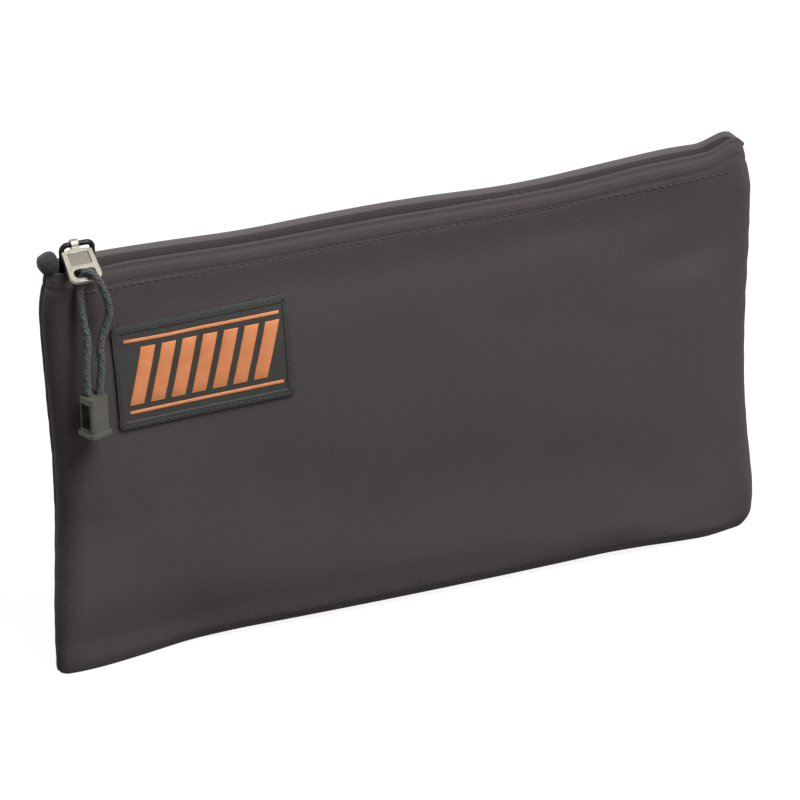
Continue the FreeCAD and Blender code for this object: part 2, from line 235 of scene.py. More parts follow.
def placeCamera():
    a, e = math.radians(photoView["azimuth"]), math.radians(photoView["elevation"])
    back = Vector((math.sin(a) * math.cos(e), -math.cos(a) * math.cos(e), math.sin(e)))
    data = bpy.data.cameras.new("photoCamera")
    data.lens = photoView["lens"]
    data.sensor_width = 36
    data.clip_end = 50
    camera = addObject("photoCamera", data)
    camera.location = Vector(photoView["aim"]) * mm + back * photoView["distance"]
    level = (-back).to_track_quat("-Z", "Y").to_matrix()
    camera.rotation_euler = (level @ Matrix.Rotation(math.radians(-photoView["roll"]), 3, "Z")).to_euler()
    bpy.context.scene.camera = camera


lamps = [
    {"name": "softKey", "at": (0.7, -1.2, 2.3), "size": 1.2, "power": 100},
    {"name": "lowFill", "at": (0.9, -2.4, 0.7), "size": 1.0, "power": 10},
    {"name": "backFill", "at": (-1.3, 2.1, 1.5), "size": 1.2, "power": 55},
]
lampAim = Vector((0, 0, 0.09))  # the middle of the bag


def placeLamps():
    for lamp in lamps:
        data = bpy.data.lights.new(lamp["name"], "AREA")
        data.size = lamp["size"]
        data.energy = lamp["power"]
        light = addObject(lamp["name"], data)
        light.location = lamp["at"]
        light.rotation_euler = (lampAim - light.location).to_track_quat("-Z", "Y").to_euler()


studio = {"world": 0.15, "floor": "#5c5c5b", "floorSize": 14, "floorDrop": 0.2, "white": 0.9}


def seenDirectly(tree):
    # 1 for what the camera sees itself, or in a mirror or through glass
    path = addNode(tree, "ShaderNodeLightPath")
    seen = path.outputs["Is Camera Ray"]
    for ray in ("Is Glossy Ray", "Is Transmission Ray"):
        either = addNode(tree, "ShaderNodeMath", {0: seen, 1: path.outputs[ray]}, operation="MAXIMUM")
        seen = either.outputs[0]
    return seen


def makeStudio():
    scene = bpy.context.scene
    scene.view_settings.view_transform = "Standard"
    world = bpy.data.worlds.new("studioAir")
    scene.world = world
    world.use_nodes = True
    tree = world.node_tree
    level = addNode(tree, "ShaderNodeMapRange",
                    {"Value": seenDirectly(tree), "To Min": studio["world"], "To Max": 1.0})
    tree.links.new(level.outputs[0], tree.nodes["Background"].inputs["Strength"])
    tree.nodes["Background"].inputs["Color"].default_value = (1, 1, 1, 1)

    deselectAll()
    bpy.ops.mesh.primitive_plane_add(size=studio["floorSize"], location=(0, 0, -studio["floorDrop"] * mm))
    floor = nameNew("studioFloor")
    # painted board: plain and matt; seen directly it is pale, and it keeps the shadow
    material, tree, shader = startFinish("paintedBoard", Roughness=0.9)
    shader.inputs["Base Color"].default_value = toLinear(studio["floor"])
    pale = addNode(tree, "ShaderNodeMath", {0: seenDirectly(tree), 1: studio["white"]}, operation="MULTIPLY")
    glow = addNode(tree, "ShaderNodeEmission", {"Strength": pale.outputs[0]})
    both = addNode(tree, "ShaderNodeAddShader", {0: shader.outputs[0], 1: glow.outputs[0]})
    tree.links.new(both.outputs[0], tree.nodes["Material Output"].inputs["Surface"])
    floor.data.materials.append(material)


placeCamera()
placeLamps()
makeStudio()
print("camera, lamps and floor placed")


# Finishes

def mixShades(tree, factor, dark, light):
    mix = addNode(tree, "ShaderNodeMix", {0: factor, 6: toLinear(dark), 7: toLinear(light)}, data_type="RGBA")
    return mix.outputs[2]


def cloudOf(tree, place, size, detail=2.0):
    cloud = addNode(tree, "ShaderNodeTexNoise", {"Vector": place, "Scale": 1 / size, "Detail": detail})
    return cloud.outputs["Fac"]


def threadsOf(tree, place, direction):
    # one band of the wave texture for each thread or rib
    wave = addNode(tree, "ShaderNodeTexWave", {"Vector": place, "Scale": math.tau / 20},
                   bands_direction=direction)
    return wave.outputs["Fac"]


def pitchPlaces(tree, place, pitch):
    # UV places counted in threads
    mapping = addNode(tree, "ShaderNodeMapping",
                      {"Vector": place.outputs["UV"], "Scale": (1 / pitch, 1 / pitch, 1)})
    return mapping.outputs[0]


def rangeOf(tree, value, low, high):
    return addNode(tree, "ShaderNodeMapRange", {"Value": value, "To Min": low, "To Max": high}).outputs[0]


def bumpOf(tree, height, strength, depth, edge=0.0):
    bump = addNode(tree, "ShaderNodeBump", {"Height": height, "Strength": strength, "Distance": depth})
    if edge:
        corner = addNode(tree, "ShaderNodeBevel", {"Radius": edge})
        tree.links.new(corner.outputs[0], bump.inputs["Normal"])
    return bump.outputs[0]


def plug(tree, shader, **sockets):
    for name, socket in sockets.items():
        tree.links.new(socket, shader.inputs[name.replace("_", " ")])


def makeWoven(name, light, dark, pitch, depth, sheen, patch=0.045):
    # plain-woven nylon: round threads that pass over and under, soft sheen, faint uneven dye, and painted
    # shade in the gaps between threads
    material, tree, shader = startFinish(name, Roughness=0.85, Specular_IOR_Level=0.1, Sheen_Weight=sheen,
                                         Sheen_Roughness=0.45)
    place = addNode(tree, "ShaderNodeTexCoord")
    threads = pitchPlaces(tree, place, pitch)
    warp = threadsOf(tree, threads, "X")
    weft = threadsOf(tree, threads, "Y")
    over = addNode(tree, "ShaderNodeTexChecker", {"Vector": threads, "Scale": 1.0})
    top = addNode(tree, "ShaderNodeMix", {0: over.outputs["Fac"], 2: warp, 3: weft})
    pillow = addNode(tree, "ShaderNodeMath", {0: warp, 1: weft}, operation="MULTIPLY")
    height = addNode(tree, "ShaderNodeMix", {0: 0.4, 2: top.outputs[0], 3: pillow.outputs[0]}).outputs[0]
    dye = rangeOf(tree, cloudOf(tree, place.outputs["Object"], patch, 3.0), -0.22, 0.22)
    shadeAndMottle = addNode(tree, "ShaderNodeMath", {0: height, 1: dye}, operation="ADD")
    # painted shade: the colour follows the weave's height, so the gaps between threads are darker; the dye
    # cloud is a real uneven tone
    plug(tree, shader, Base_Color=mixShades(tree, shadeAndMottle.outputs[0], dark, light),
         Normal=bumpOf(tree, height, 0.55, depth))
    return material


def makeRibbed(name, light, dark, pitch, depth, axis):
    # knitted or ribbed tape: close ribs along its length, with painted shade between the ribs
    material, tree, shader = startFinish(name, Roughness=0.8, Specular_IOR_Level=0.2, Sheen_Weight=0.08)
    ribs = pitchPlaces(tree, addNode(tree, "ShaderNodeTexCoord"), pitch)
    wave = threadsOf(tree, ribs, axis)
    grain = cloudOf(tree, ribs, 0.5)
    shadeAndMottle = addNode(tree, "ShaderNodeMix", {0: 0.35, 2: wave, 3: grain}).outputs[0]
    # painted shade: the colour follows the ribs' height, darker between them; the grain is a real random tone
    plug(tree, shader, Base_Color=mixShades(tree, shadeAndMottle, dark, light), Normal=bumpOf(tree, shadeAndMottle, 0.5, depth))
    return material


def makeMoulded(name, light, dark, rough, grit, depth, edge):
    # moulded plastic or rubber: a fine grit from the mould, rounded edges, slight unevenness in gloss
    material, tree, shader = startFinish(name, Specular_IOR_Level=0.28)
    place = addNode(tree, "ShaderNodeTexCoord").outputs["Object"]
    fine = cloudOf(tree, place, grit, 4.0)
    broad = cloudOf(tree, place, grit * 10)
    plug(tree, shader, Base_Color=mixShades(tree, broad, dark, light),
         Roughness=rangeOf(tree, fine, rough - 0.08, rough + 0.08),
         Normal=bumpOf(tree, fine, 0.35, depth, edge))
    return material


def makePlated(name, light, dark, rough, edge, recessPaintedShade=None):
    # plated zinc: a thin bright coat over a cast skin, with soft flow marks and rubbed spots, and painted
    # shade in a given recess
    material, tree, shader = startFinish(name, Metallic=1.0)
    place = addNode(tree, "ShaderNodeTexCoord").outputs["Object"]
    flow = cloudOf(tree, place, 4 * mm, 3.0)
    rub = cloudOf(tree, place, 0.9 * mm)
    colour = mixShades(tree, flow, dark, light)
    if recessPaintedShade:
        # painted shade: the sunk field is coloured darker than the raised border, for the shade that falls in
        # the recess
        away = addNode(tree, "ShaderNodeVectorMath", {0: place, 1: recessPaintedShade["normal"]}, operation="DOT_PRODUCT")
        paintedShadeMask = addNode(tree, "ShaderNodeMath",
                        {0: away.outputs["Value"], 1: recessPaintedShade["level"], 2: recessPaintedShade["within"]}, operation="COMPARE")
        shade = addNode(tree, "ShaderNodeMix", {0: paintedShadeMask.outputs[0], 6: colour, 7: toLinear(recessPaintedShade["shade"])},
                        data_type="RGBA")
        colour = shade.outputs[2]
    plug(tree, shader, Base_Color=colour, Roughness=rangeOf(tree, rub, rough - 0.1, rough + 0.12),
         Normal=bumpOf(tree, flow, 0.25, 0.1 * mm, edge))
    return material


# the floor of the pull tab's recess, as a plane, and the painted shade colour that the recess gets
tabRecessPaintedShade = {"normal": (0, -0.5, 0.866), "level": 164.76 * mm, "within": 0.14 * mm, "shade": "#726e64"}
# the thread pitch of a coarse packcloth is 0.6 mm; it is drawn at 1.1 mm so that it shows in the render
nylonCloth = makeWoven("wovenNylon", "#4e4747", "#443e3e", 1.1 * mm, 0.18 * mm, 0.05)
zipTape = makeRibbed("knittedPolyesterTape", "#302e2f", "#201e1f", 0.9 * mm, 0.15 * mm, "Y")
bindingTape = makeRibbed("ribbedBindingTape", "#3a3a3c", "#222223", 0.8 * mm, 0.15 * mm, "X")
# painted light: paler than the cloth, for the light from above on the back hem's inner slope
paintedLightHemTape = makeRibbed("paintedLightEdgeTape", "#5d5858", "#504c4c", 0.8 * mm, 0.1 * mm, "Y")
sewingThread = makeRibbed("twistedPolyesterThread", "#4c4646", "#403b3b", 0.4 * mm, 0.08 * mm, "X")
labelRubber = makeMoulded("mouldedRubber", "#363734", "#2a2b28", 0.66, 0.5 * mm, 0.06 * mm, 0.2 * mm)
printedOrange = makeMoulded("mouldedOrangeRubber", "#d98d60", "#c07343", 0.6, 0.5 * mm, 0.05 * mm, 0.15 * mm)
acetalTeeth = makeMoulded("mouldedAcetal", "#1a1a1b", "#0f0f10", 0.6, 0.6 * mm, 0.03 * mm, 0.2 * mm)
cordPlastic = makeMoulded("mouldedPvc", "#57574f", "#41413a", 0.5, 0.7 * mm, 0.05 * mm, 0.4 * mm)
darkPlate = makePlated("blackNickelPlate", "#34322e", "#1a1917", 0.4, 0.3 * mm)
nickelPlate = makePlated("nickelPlate", "#a29e92", "#7a766c", 0.38, 0.3 * mm, tabRecessPaintedShade)
braidedCord = makeRibbed("braidedNylonCord", "#5a5e5e", "#292c2c", 1.0 * mm, 0.2 * mm, "DIAGONAL")
print("finishes made")


# The cord on the pull

pullCord = {
    "bar": (-141.8, -16.021, 180.65),
    "route": [
        (-3.8, -2.7, -53.6), (-4.6, -2.6, -44.8), (-3.8, -1.8, -35), (-2.2, -0.5, -27.6), (-3.8, 1.6, -16.5),
        (-3.9, 3.2, -5), (-1.2, 3.2, 3.2), (1.2, -3.2, 3.2), (4.8, -3.2, -4.8), (7.4, -2.4, -15.5),
        (1.9, -1.8, -27.6), (2.5, -2.2, -36.8), (1.4, -2.6, -45.6), (0.1, -2.7, -53.6),
    ],
    "diameter": 3.2,
    "length": 121.2,
    "strands": 8,
    "braidPitch": 6.5,
    "braidDepth": 0.16, "braidSink": 0.7,
    "pinch": (0.05, 9),  # share of the thickness, and how far from the bar
    "around": 32,
}


def routePoints():
    curve = bpy.data.curves.new("cordRoute", "CURVE")
    curve.dimensions = "3D"
    curve.resolution_u = 24
    spline = curve.splines.new("NURBS")
    spline.points.add(len(pullCord["route"]) - 1)
    for point, step in zip(spline.points, pullCord["route"]):
        point.co = [(b + s) * mm for b, s in zip(pullCord["bar"], step)] + [1]
    spline.order_u = 3
    spline.use_endpoint_u = True
    holder = addObject("cordRoute", curve)
    line = bpy.data.meshes.new_from_object(holder)
    points = [v.co.copy() for v in line.vertices]
    bpy.data.objects.remove(holder)
    bpy.data.meshes.remove(line)
    return points


def tubeAlong(name, points, radiusAt, around):
    # a tube of rings that don't twist, closed at both ends
    rings = len(points)
    spots, uvs = [], []
    side = None
    run = 0.0
    for i, point in enumerate(points):
        ahead = (points[min(i + 1, rings - 1)] - points[max(i - 1, 0)]).normalized()
        side = side or ahead.orthogonal()
        side = (side - ahead * side.dot(ahead)).normalized()
        other = ahead.cross(side)
        run += (point - points[i - 1]).length if i else 0.0
        for j in range(around):
            turn = math.tau * j / around
            radius = radiusAt(turn, run)
            spots.append(point + (side * math.cos(turn) + other * math.sin(turn)) * radius)
            uvs.append((run, turn * radius))
    return newPiece(name, spots, tubeFaces(rings, around), uvs)


def braidRadius(turn, run):
    # two sets of strands cross in a herringbone
    phase = math.tau * run / (pullCord["braidPitch"] * mm)
    half = pullCord["strands"] / 2
    left = math.cos(half * turn + phase)
    right = math.cos(half * turn - phase)
    radius = pullCord["diameter"] / 2 + pullCord["braidDepth"] * (max(left, right) - pullCord["braidSink"])
    share, reach = pullCord["pinch"]
    fromBar = run / mm - pullCord["length"] / 2
    return radius * mm * (1 - share * math.exp(-(fromBar / reach) ** 2))


def makeCord():
    points = routePoints()
    cord = tubeAlong("pullCordBraid", points, braidRadius, pullCord["around"])
    wear(cord, braidedCord)
    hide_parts("pull_cord")
    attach(cord, "cord")
    return cord, points


cordKnot = {
    "radius": 1.15, "wide": 1.875, "deep": 0.42, "tall": 2.4, "steps": 96, "around": 12,
    "turns": 0.97,  # just short of a closed loop
}


def makeKnot():
    # the two ends tied in an overhand knot inside the moulded end
    low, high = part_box("cord_knot")
    middle = (low + high) / 2
    points = []
    for i in range(cordKnot["steps"]):
        t = math.tau * (i + 0.5) / cordKnot["steps"] * cordKnot["turns"]
        points.append(middle + Vector((
            cordKnot["wide"] * (math.sin(t) + 2 * math.sin(2 * t)) / 3,
            cordKnot["deep"] * -math.sin(3 * t),
            cordKnot["tall"] * (math.cos(t) - 2 * math.cos(2 * t)) / 3,
        )) * mm)
    knot = tubeAlong("cordKnotTied", points, lambda turn, run: cordKnot["radius"] * mm, cordKnot["around"])
    wear(knot, braidedCord)
    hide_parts("cord_knot")
    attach(knot, "cord")
    return knot


cordPiece, cordPoints = makeCord()
knotPiece = makeKnot()
print("cord made")


# The cloth of the bag

bag = {
    "width": 318, "height": 178, "belly": 12, "bellyHeight": 70, "foot": 7, "footFullness": 2.7,
    "shoulder": 10.2, "shoulderHeight": 7, "rim": 8.2, "cloth": 1.0, "sideDraw": 2.5,
    "slantIn": 3.5, "slantHeight": 17, "slantEase": 1.4,
    "cornerIn": (2.0, 5.0), "cornerHeight": (3.5, 9.0),  # the left bottom corner is the sharper one
    "round": (0.92, 0.6), "hemRound": 0.96, "footRound": 0.42, "arc": 164, "stitchAt": 172,
    "footBlend": 40, "topBlend": (150, 26),  # heights where the section changes to the foot's and the hem's
    "column": 2.0, "seamColumns": (0.4, 0.9, 1.4),
    # height and share of the depth where the front runs under the foot to the seam at the back
    "footRows": [(2.0, -1), (0.9, -1), (0.0, -1), (0.0, -0.5), (0.0, 0.0), (0.0, 0.5), (0.0, 1)],
    "backStart": 2.3, "rowSteps": [(3, 0.5), (10, 1.0), (164, 2.2), (176.5, 0.7)],  # up to, in steps of
    # depth and height along the rolled hem, from the outside over the top to the folded edge inside
    "frontHem": [(8.25, 177.3), (8.25, 178.1), (8.15, 178.8), (7.85, 179.25), (7.35, 179.45), (6.85, 179.3),
                 (6.5, 178.85), (6.35, 178.2), (6.5, 177.6), (6.8, 177), (6.9, 175), (6.9, 173), (6.9, 171),
                 (6.9, 169.2)],
    "backHem": [(9.35, 177), (9.75, 177.8), (10.0, 178.5), (9.9, 179.0), (9.5, 179.2), (9.0, 178.95),
                (8.5, 178.45), (8.0, 177.95), (7.6, 177.4), (7.3, 176.6), (7.1, 175.6), (7.0, 174.8),
                (6.9, 173), (6.9, 171), (6.9, 169.2)],
    "paintedLightRows": (3, 8),  # the part of the back hem painted paler, as painted light from above on its inner slope
    "blendFrom": 130,
    "frontCut": 208, "backCut": 192,  # lengths of the cloth before sewing, hem turnings among them
}


def halfDepth(z):
    shoulderZ = bag["height"] - bag["shoulderHeight"]
    if z <= bag["bellyHeight"]:
        short = max(0.0, 1 - z / bag["bellyHeight"])
        full = (1 - short ** bag["footFullness"]) ** (1 / bag["footFullness"])
        return bag["foot"] + (bag["belly"] - bag["foot"]) * full
    if z <= shoulderZ:
        ease = (1 - math.cos(math.pi * (z - bag["bellyHeight"]) / (shoulderZ - bag["bellyHeight"]))) / 2
        return bag["belly"] + (bag["shoulder"] - bag["belly"]) * ease
    over = min(1.0, (z - shoulderZ) / bag["shoulderHeight"])
    return bag["rim"] + (bag["shoulder"] - bag["rim"]) * math.sqrt(1 - over ** 2)


def halfWidth(z, u):
    side = 0 if u < 0 else 1
    corner, tall = bag["cornerIn"][side], bag["cornerHeight"][side]
    top = bag["height"] - bag["slantHeight"]
    wide = bag["width"] / 2
    if z < tall:
        wide -= corner * (1 - math.sqrt(1 - (1 - z / tall) ** 2))
    if z > top:
        return wide - bag["slantIn"] * ((z - top) / bag["slantHeight"]) ** bag["slantEase"]
    share = max(0.0, (z - tall) / (top - tall))
    return wide - bag["sideDraw"] * math.sin(math.pi * share) ** 2


def ovalPoint(a, b, k, u):
    # half of a section of the bag, u from -1 at the left seam to 1 at the right: x, depth and their normal
    r = k * b
    rise = ((a - r) ** 2 - (b - r) ** 2) / (2 * (b - r))
    flat = math.atan2(a - r, rise)
    wide = rise + b
    s = abs(u) * (wide * flat + r * (math.pi / 2 - flat))
    if s < wide * flat:
        angle = s / wide
        x, depth = wide * math.sin(angle), wide * math.cos(angle) - rise
    else:
        angle = flat + (s - wide * flat) / r
        x, depth = a - r + r * math.sin(angle), r * math.cos(angle)
    return math.copysign(x, u), depth, math.copysign(math.sin(angle), u), math.cos(angle)


drape = {
    "hemFrom": (140, 36),  # height where the hem's moves begin, and over how much they grow
    "endRise": (1.4, 70, 70), "rightTip": (4.2, 136, 15, 6.5),  # amount, from, run, and the tip's fall
    "sags": [(54, 40, -2.3), (-62, 26, -0.9)],  # where, half width, amount
    "frontSag": 0.35, "frontRise": (0.7, 60, 50, 1.1),  # all along, then more from here to the right
    "frontEnds": (-138, 16, 146, 10),  # left end and run, right end and run
    "hemNoise": (0.3, 42), "hemSeed": {-1: 7, 1: 19},
    "footArch": (-124, 50, 146, 40, 1.8, 34),  # from, run, to, run, amount, height where it ends
    "rightPoke": (84, 40, 156, 24, 3.0, 30),
    "leftTwist": (-96, 56, 9.0, 3.4, 70),  # from, run, forward, outward, height where it ends
    "mouthNarrow": (120, 36, 0.32),
}

creases = {
    "seed": {-1: 3.1, 1: 11.7},
    "broad": (1.0, 85, 60, 0), "middle": (0.45, 36, 30, 5),  # amount, width, height, change of seed
    "seam": (0.45, 6.5, 8), "hem": (0.3, 7, 7), "foot": (0.35, 10, 7),  # amount, wave, fade
    "lines": {"seam": 40, "hem": 20, "foot": 60},  # where in the noise each row of puckers is drawn
    "calm": (24, 22, 16),  # how far the creases keep from the side seams, the stitches and the foot
    "stitchDip": (0.35, 0.9), "seamDip": (1.0, 2.4),  # amount, reach
    "footEase": 3, "swellEase": 6,
    # shallow swells: x, z, half width, half height, amount, for the front only
    "swells": [(84, 13, 34, 8, 1.2), (10, 18, 120, 22, 2.8), (-100, 40, 56, 30, 2.6), (116, 18, 46, 20, 2.6)],
}


def drawn(scaleX, scaleZ, x, z, seed):
    return noise.noise(Vector((x / scaleX, z / scaleZ, seed)))


def seamDip(fromSeam):
    amount, reach = creases["seamDip"]
    return amount * max(0.0, 1 - fromSeam / reach) ** 2


def softLift(way, u, x, z, settled):
    # how far the cloth stands out of the plain form, in millimetres
    seed = creases["seed"][way]
    fromSeam = (1 - abs(u)) * bag["arc"]
    fromStitch = bag["stitchAt"] - z
    bySeam, byStitch, byFoot = creases["calm"]
    calm = smooth(fromSeam / bySeam) * smooth(fromStitch / byStitch) * smooth(z / byFoot)
    lift = settled(u, z) * calm - seamDip(fromSeam)
    for amount, wide, tall, change in (creases["broad"], creases["middle"]):
        lift += amount * drawn(wide, tall, x, z, seed + change) * calm
    lines = creases["lines"]
    amount, wave, fade = creases["seam"]
    lift += amount * drawn(wave, wave, math.copysign(lines["seam"], x), z, seed) * math.exp(-fromSeam / fade)
    amount, wave, fade = creases["hem"]
    lift += amount * drawn(wave, wave, x, lines["hem"], seed) * math.exp(-abs(fromStitch) / fade)
    amount, wave, fade = creases["foot"]
    pucker = amount * drawn(wave, wave, x, lines["foot"], seed) * math.exp(-z / fade)
    lift += pucker * smooth(z / creases["footEase"])
    amount, reach = creases["stitchDip"]
    lift -= amount * math.exp(-(fromStitch / reach) ** 2)
    if way < 0:
        ease = smooth(z / creases["swellEase"])
        for atX, atZ, wide, tall, amount in creases["swells"]:
            lift += amount * math.exp(-((x - atX) / wide) ** 2 - ((z - atZ) / tall) ** 2) * ease
    return lift


def hemWave(x, z, way):
    # the top edge rises to the corners and sags where nothing holds it
    start, run = drape["hemFrom"]
    share = smooth((z - start) / run)
    amount, start, run = drape["endRise"]
    rise = amount * smooth((abs(x) - start) / run)
    amount, start, run, fall = drape["rightTip"]
    rise += amount * smooth((x - start) / run) * (1 - smooth((x - start - run) / fall))
    sag = sum(amount * math.exp(-((x - at) / wide) ** 2) for at, wide, amount in drape["sags"])
    if way < 0:
        least, start, run, more = drape["frontRise"]
        left, leftRun, right, rightRun = drape["frontEnds"]
        ends = (1 - smooth((x - right) / rightRun)) * smooth((x - left) / leftRun)
        sag = sag * drape["frontSag"] + (least + more * smooth((x - start) / run)) * ends
    amount, wave = drape["hemNoise"]
    return share * (rise + sag + amount * drawn(wave, 1, x, 0, drape["hemSeed"][way]))


def lowSpan(x, z, move):
    # a move near the foot that grows over a run at both ends and fades with height
    start, startRun, end, endRun, amount, high = drape[move]
    return amount * smooth((x - start) / startRun) * smooth((end - x) / endRun) * (1 - smooth(z / high))


def footLift(x, z):
    # the bag stands on the ends of its foot, which bows up between them
    return lowSpan(x, z, "footArch")


def leftTwist(x, z):
    # the left end of the foot stands twisted, forward of the middle and a little out
    start, run, forward, outward, high = drape["leftTwist"]
    share = smooth((start - x) / run) * (1 - smooth(z / high))
    return Vector((-outward * share, -forward * share, 0))


def mouthShare(x):
    # the mouth narrows towards the end where the zip opens
    at, wide, amount = drape["mouthNarrow"]
    return 1 - amount * smooth((x - at) / wide)


def topShare(z):
    start, run = bag["topBlend"]
    return smooth((z - start) / run)


def roundness(z, u):
    # the left end is rounder than the right
    middle = bag["round"][0 if u < 0 else 1]
    low = bag["footRound"] + (middle - bag["footRound"]) * smooth(z / bag["footBlend"])
    return low + (bag["hemRound"] - middle) * topShare(z)


def wallPoint(way, u, z, share, settled):
    x, depth, nx, nd = ovalPoint(halfWidth(z, u), halfDepth(z), roundness(z, u), u)
    lift = softLift(way, u, x, z, settled) if share == 1 else 0.0
    x += nx * lift
    depth += nd * lift
    depth *= 1 + (mouthShare(x) - 1) * topShare(z)
    y = way * depth * share
    if y < 0:
        y -= lowSpan(x, z, "rightPoke")
    return Vector((x, y, z + hemWave(x, z, way) * (share == 1) + footLift(x, z))) + leftTwist(x, z)


def hemPoint(way, u, depth, z):
    a = halfWidth(bag["height"], u) - (bag["rim"] - depth)
    x, depth, nx, nd = ovalPoint(a, depth, bag["hemRound"], u)
    dip = seamDip((1 - abs(u)) * bag["arc"])
    return Vector((x - nx * dip, way * (depth - nd * dip) * mouthShare(x), z + hemWave(x, z, way)))


def wallHeights(way):
    # the back panel starts above the seam where the front ends
    rows = list(bag["footRows"]) if way < 0 else [(bag["backStart"], 1)]
    z = rows[-1][0]
    for limit, step in bag["rowSteps"]:
        while z < limit:
            z += step
            rows.append((z, 1))
    return rows


def columnPlaces(low, high):
    count = round((high - low) * bag["arc"] / bag["column"])
    places = {round(low + (high - low) * i / count, 6) for i in range(count + 1)}
    for near in bag["seamColumns"]:
        for side in (-1, 1):
            u = side * (1 - near / bag["arc"])
            if low < u < high:
                places.add(round(u, 6))
    return sorted(places)


def wallSheet(name, way, low, high, settled):
    # the sheet, and how far along the cloth each of its rows is
    columns = columnPlaces(low, high)
    rows = [[wallPoint(way, u, z, share, settled) for u in columns] for z, share in wallHeights(way)]
    hem = bag["frontHem"] if way < 0 else bag["backHem"]
    rows += [[hemPoint(way, u, depth, z) for u in columns] for depth, z in hem]
    sheet = newGrid(name, len(columns), len(rows), [point * mm for row in rows for point in row])
    middle = min(range(len(columns)), key=lambda i: abs(columns[i]))
    along = [0.0]
    for before, after in zip(rows, rows[1:]):
        along.append(along[-1] + (after[middle] - before[middle]).length)
    layUv(sheet.data, [(u * bag["arc"] * mm, v * mm) for v in along for u in columns])
    if way > 0:
        sheet.data.flip_normals()
    sheet.data.update()
    return sheet, along


settling = {
    "columns": 161, "rows": 42, "from": 4.0, "step": 4.0, "frames": 20, "quality": 6,
    "pressure": 1.6, "grow": 0.004, "mass": 0.12, "stiff": 30, "bend": 1.2,
    "cap": 1.4, "calm": 14,  # how far a place may move, and how often neighbours are averaged
}


def settleWall(way):
    # cloth pinned along its seams and pushed out a little from inside; gives the lift at any place
    wide, tall = settling["columns"], settling["rows"]
    halfWide = (wide - 1) / 2
    start, normals, pinned = [], [], []
    for i in range(tall):
        z = settling["from"] + settling["step"] * i
        for j in range(wide):
            u = j / halfWide - 1
            x, depth, nx, nd = ovalPoint(halfWidth(z, u), halfDepth(z), roundness(z, u), u)
            if i in (0, tall - 1) or j in (0, wide - 1):
                pinned.append(len(start))
            start.append(Vector((x, way * depth, z)) * mm)
            normals.append(Vector((nx, way * nd, 0)))
    sheet = newGrid("settlingSheet", wide, tall, start)
    if way > 0:
        sheet.data.flip_normals()
    group = sheet.vertex_groups.new(name="seams")
    group.add(pinned, 1.0, "REPLACE")
    cloth = sheet.modifiers.new("settle", "CLOTH")
    settings = cloth.settings
    settings.quality = settling["quality"]
    settings.mass = settling["mass"]
    settings.tension_stiffness = settling["stiff"]
    settings.compression_stiffness = settling["stiff"]
    settings.shear_stiffness = settling["stiff"] / 3
    settings.bending_stiffness = settling["bend"]
    settings.vertex_group_mass = "seams"
    settings.use_pressure = True
    settings.uniform_pressure_force = settling["pressure"]
    settings.shrink_min = -settling["grow"]
    settings.effector_weights.gravity = 0
    cloth.point_cache.frame_end = settling["frames"]
    for number in range(1, settling["frames"] + 1):
        bpy.context.scene.frame_set(number)
    ready = sheet.evaluated_get(bpy.context.evaluated_depsgraph_get())
    lifts = [(v.co - spot).dot(n) / mm for v, spot, n in zip(ready.data.vertices, start, normals)]
    bpy.context.scene.frame_set(1)
    bpy.data.objects.remove(sheet)
    mean = sum(lifts) / len(lifts)
    print("settled cloth lifts", round(min(lifts), 2), round(mean, 2), round(max(lifts), 2))
    cap = settling["cap"]
    lifts = [cap * math.tanh((lift - mean) / cap) for lift in lifts]
    for _ in range(settling["calm"]):  # packcloth is too stiff to keep the finest ripples
        lifts = [(lifts[max(i - 1, 0)] + 2 * lift + lifts[min(i + 1, len(lifts) - 1)]) / 4
                 for i, lift in enumerate(lifts)]

    def settled(u, z):
        column = min(wide - 1.001, max(0.0, (u + 1) * halfWide))
        row = min(tall - 1.001, max(0.0, (z - settling["from"]) / settling["step"]))
        i, j = int(row), int(column)
        s, t = row - i, column - j
        below, above = [lifts[k * wide + j] * (1 - t) + lifts[k * wide + j + 1] * t for k in (i, i + 1)]
        return below * (1 - s) + above * s
    return settled


def thicken(sheet):
    shadeSmooth(sheet)
    editAll(sheet)
    bpy.ops.mesh.remove_doubles(threshold=0.02 * mm)
    leaveEdit()
    applyModifier(sheet, "SOLIDIFY", thickness=bag["cloth"] * mm, offset=-1, use_rim=True)
    for v in sheet.data.vertices:
        v.co.z = max(v.co.z, 0.0)  # the folded corners stay on the floor
    smoothByAngle(sheet, 75)  # only the cut edges stay sharp


def paintLightOnRoll(piece, along):
    # painted light: the inner slope of the back's rolled hem gets a paler tape finish, for the light from
    # above that falls on it
    low, high = [along[row - len(bag["backHem"])] * mm for row in bag["paintedLightRows"]]
    piece.data.materials.append(paintedLightHemTape)
    runs = piece.data.uv_layers.active.data
    for face in piece.data.polygons:
        run = sum(runs[i].uv.y for i in face.loop_indices) / face.loop_total
        face.material_index = int(low < run < high)


def followBack(piece):
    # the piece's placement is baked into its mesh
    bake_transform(piece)


def lookOf(sheet):
    # for finding places on a sheet
    return BVHTree.FromPolygons([v.co.copy() for v in sheet.data.vertices],
                                [tuple(p.vertices) for p in sheet.data.polygons])


frontCloth, _ = wallSheet("frontCloth", -1, -1.0, 1.0, settleWall(-1))
frontLook = lookOf(frontCloth)
thicken(frontCloth)
wear(frontCloth, nylonCloth)
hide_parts("front_panel")
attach(frontCloth, "bag")
print("front cloth made")

backSettled = settleWall(1)
backWhole, _ = wallSheet("backWhole", 1, -1.0, 1.0, backSettled)
backLook = lookOf(backWhole)
bpy.data.objects.remove(backWhole)


def makeBackHalf(name, low, high):
    half, along = wallSheet(name, 1, low, high, backSettled)
    thicken(half)
    wear(half, nylonCloth)
    paintLightOnRoll(half, along)
    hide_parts("back_panel")
    followBack(half)


